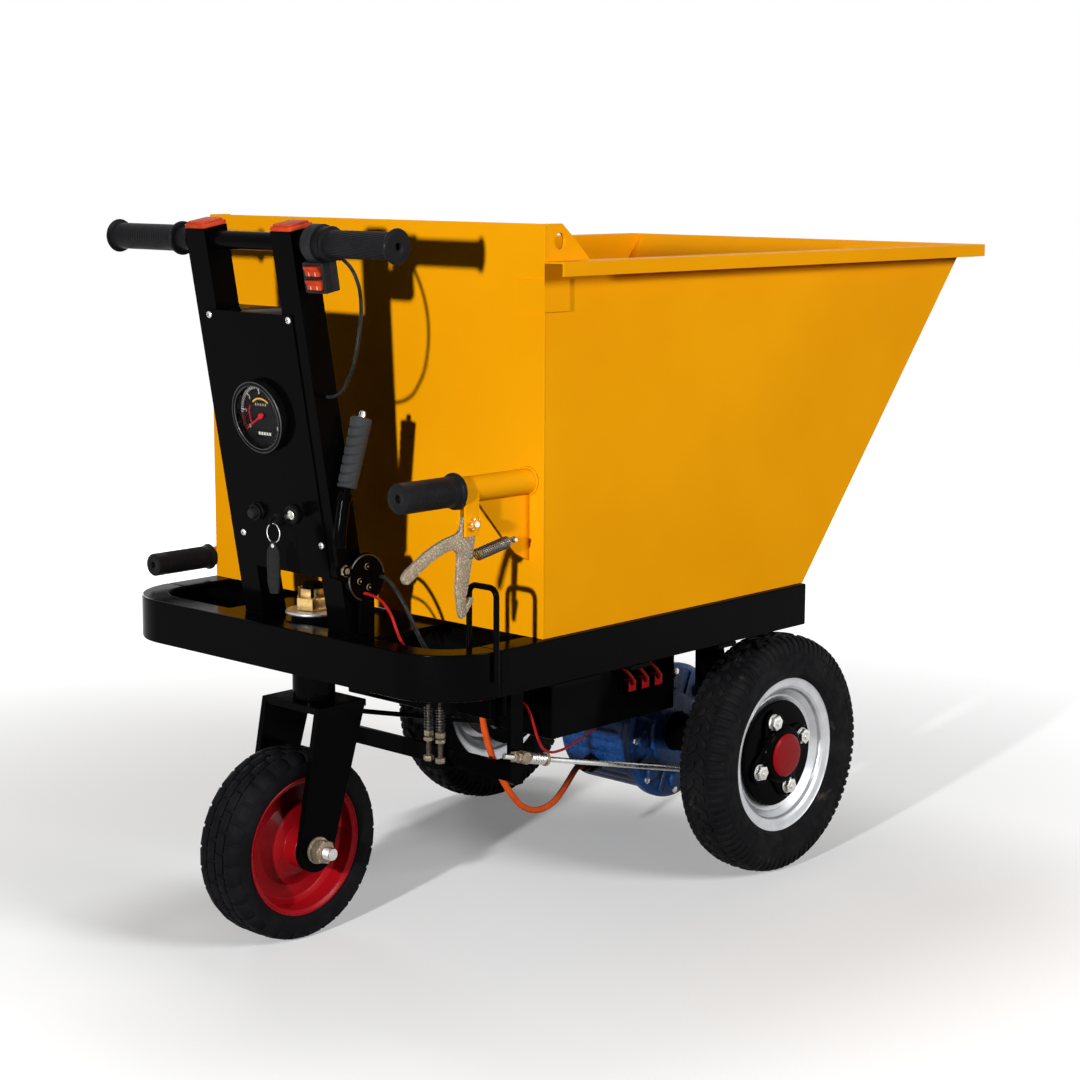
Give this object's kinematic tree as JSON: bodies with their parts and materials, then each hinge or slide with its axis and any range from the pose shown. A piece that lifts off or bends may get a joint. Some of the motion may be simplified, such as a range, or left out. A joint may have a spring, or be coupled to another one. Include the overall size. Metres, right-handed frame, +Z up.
{
  "type": "concrete buggy",
  "caption": "Powered concrete buggy: open hopper that tips forward on a low black chassis, two drive wheels, a steered caster and a leaning handlebar column with a gauge and hand brake.",
  "frame": {"origin": "on the ground, under the middle of the bounding box", "axes": "+X to the operator's right, +Y forwards, the way the hopper tips, +Z up"},
  "size_m": [0.748, 1.296, 1.0022],
  "materials": {
    "yellow_paint": "glossy yellow-orange paint",
    "black_paint": "glossy black paint",
    "black_rubber": "ribbed black rubber",
    "tyre_rubber": "worn black tyre",
    "red_paint": "glossy red paint",
    "silver_paint": "bright silver paint",
    "bright_steel": "bright zinc plate",
    "yellow_zinc": "yellow zinc plate",
    "spring_steel": "dark spring steel",
    "blue_paint": "blue cast housing",
    "black_plastic": "moulded black plastic",
    "orange_plastic": "red-orange plastic",
    "clear_lens": "clear lens",
    "white_plastic": "white needle",
    "orange_sheath": "orange cable sheath",
    "red_sheath": "red wire sheath",
    "black_sheath": "black cable sheath",
    "leather": "black strap fob"
  },
  "bodies": {
    "chassis": {"side_rails": "black_paint", "front_rail": "black_paint", "frame_brackets": "black_paint", "hinge_pin": "bright_steel", "head_plate": "black_paint", "column_legs": "black_paint", "column_caps": "orange_plastic", "column_panel": "black_paint", "panel_screws": "bright_steel", "handlebar": "black_paint", "left_grip": "black_rubber", "throttle_housing": "black_plastic", "switch_pod": "black_plastic", "gauge_case": "black_plastic", "gauge_lens": "clear_lens", "panel_bezels": "black_plastic", "brake_bracket": "black_paint", "brake_cable": "black_sheath", "latch_loop": "black_paint", "throttle_lead": "black_sheath", "red_wires": "red_sheath", "motor_cable": "orange_sheath", "axle_housing": "black_paint", "motor_housing": "blue_paint", "motor_cover": "blue_paint", "battery_box": "black_plastic"},
    "hopper": {"hopper_back": "yellow_paint", "hopper_sides": "yellow_paint", "hopper_floor": "yellow_paint", "hopper_front": "yellow_paint", "hopper_rim": "yellow_paint", "hopper_fittings": "yellow_paint", "hopper_handles": "yellow_paint", "hopper_grips": "black_rubber", "latch_spring": "spring_steel"},
    "latch": {"latch_hook": "yellow_zinc"},
    "fork": {"caster_fork": "black_paint", "caster_hardware": "yellow_zinc"},
    "caster_wheel": {"caster_rim": "red_paint", "caster_tyre": "tyre_rubber"},
    "wheel_right": {"rim_right": "silver_paint", "tyre_right": "tyre_rubber", "hub_right": "black_paint"},
    "wheel_left": {"rim_left": "silver_paint", "tyre_left": "tyre_rubber", "hub_left": "black_paint"},
    "throttle": {"throttle_grip": "black_rubber"},
    "hand_brake": {"brake_lever": "black_paint", "brake_grip": "black_plastic"},
    "brake_release": {"brake_button": "bright_steel"},
    "brake_frame": {"brake_swing": "black_paint"},
    "rods": {"brake_rods": "bright_steel", "rod_springs": "spring_steel"},
    "cams": {"cam_levers": "black_paint"},
    "rocker_a": {"rocker_upper": "orange_plastic"},
    "rocker_b": {"rocker_lower": "orange_plastic"},
    "needle": {"gauge_needle": "white_plastic"},
    "ignition_key": {"key": "bright_steel"},
    "fob": {"key_fob": "leather"},
    "button": {"push_button": "black_plastic"}
  },
  "joints": [
    {"name": "hopper_tip", "type": "hinge", "parent": "chassis", "child": "hopper", "pos_m": [0, 0.222, 0.436], "axis": [-1, 0, 0], "range_deg": [0, 75]},
    {"name": "latch_hook_turn", "type": "hinge", "parent": "hopper", "child": "latch", "pos_m": [0.322, -0.48, 0.619], "axis": [1, 0, 0], "range_deg": [-12, 13], "stiffness_Nm_per_rad": 8, "deforming": ["latch_spring"]},
    {"name": "caster_swivel", "type": "hinge", "parent": "chassis", "child": "fork", "pos_m": [0, -0.463, 0.4], "axis": [0, 0, 1], "continuous": true},
    {"name": "caster_spin", "type": "hinge", "parent": "fork", "child": "caster_wheel", "pos_m": [0, -0.513, 0.135], "axis": [1, 0, 0], "continuous": true},
    {"name": "wheel_right_spin", "type": "hinge", "parent": "chassis", "child": "wheel_right", "pos_m": [0.302, 0.198, 0.185], "axis": [1, 0, 0], "continuous": true},
    {"name": "wheel_left_spin", "type": "hinge", "parent": "chassis", "child": "wheel_left", "pos_m": [-0.302, 0.198, 0.185], "axis": [1, 0, 0], "continuous": true},
    {"name": "throttle_twist", "type": "hinge", "parent": "chassis", "child": "throttle", "pos_m": [0.22, -0.56632, 0.97247], "axis": [1, 0, 0], "range_deg": [0, 70], "stiffness_Nm_per_rad": 0.5},
    {"name": "brake_lever_pull", "type": "hinge", "parent": "chassis", "child": "hand_brake", "pos_m": [0.123, -0.518, 0.537], "axis": [1, 0, 0], "range_deg": [0, 40], "deforming": ["brake_cable"]},
    {"name": "brake_release_press", "type": "slide", "parent": "hand_brake", "child": "brake_release", "axis": [0, -0.2961, -0.9552], "range_m": [0, 0.006], "stiffness_N_per_m": 400},
    {"name": "brake_frame_swing", "type": "hinge", "parent": "chassis", "child": "brake_frame", "pos_m": [0, -0.263, 0.365], "axis": [-1, 0, 0], "range_deg": [0, 5]},
    {"name": "brake_rods_tilt", "type": "hinge", "parent": "brake_frame", "child": "rods", "pos_m": [0, -0.263, 0.248], "axis": [-1, 0, 0], "range_deg": [-5, 0]},
    {"name": "cam_levers_turn", "type": "hinge", "parent": "chassis", "child": "cams", "pos_m": [0, 0.142, 0.214], "axis": [-1, 0, 0], "range_deg": [0, 9.1]},
    {"name": "rocker_upper_press", "type": "hinge", "parent": "chassis", "child": "rocker_a", "pos_m": [0.1375, -0.57477, 0.93747], "axis": [-1, 0, 0], "range_deg": [0, 18]},
    {"name": "rocker_lower_press", "type": "hinge", "parent": "chassis", "child": "rocker_b", "pos_m": [0.1375, -0.57164, 0.91974], "axis": [-1, 0, 0], "range_deg": [0, 18]},
    {"name": "gauge_needle_sweep", "type": "hinge", "parent": "chassis", "child": "needle", "pos_m": [0, -0.55129, 0.73751], "axis": [0, 0.9848, 0.1736], "range_deg": [0, 240], "stiffness_Nm_per_rad": 0.002},
    {"name": "key_turn", "type": "hinge", "parent": "chassis", "child": "ignition_key", "pos_m": [0.032, -0.52373, 0.60427], "axis": [0, 0.9848, 0.1736], "range_deg": [0, 90]},
    {"name": "key_fob_swing", "type": "hinge", "parent": "ignition_key", "child": "fob", "pos_m": [0.032, -0.56017, 0.59784], "axis": [1, 0, 0], "range_deg": [-35, 20]},
    {"name": "push_button_press", "type": "slide", "parent": "chassis", "child": "button", "axis": [0, 0.9848, 0.1736], "range_m": [0, 0.005], "stiffness_N_per_m": 400}
  ],
  "couplings": [
    {"joint": "brake_frame_swing", "follows": "brake_lever_pull", "ratio": 0.125},
    {"joint": "brake_rods_tilt", "follows": "brake_lever_pull", "ratio": -0.125},
    {"joint": "cam_levers_turn", "follows": "brake_lever_pull", "ratio": 0.225}
  ]
}
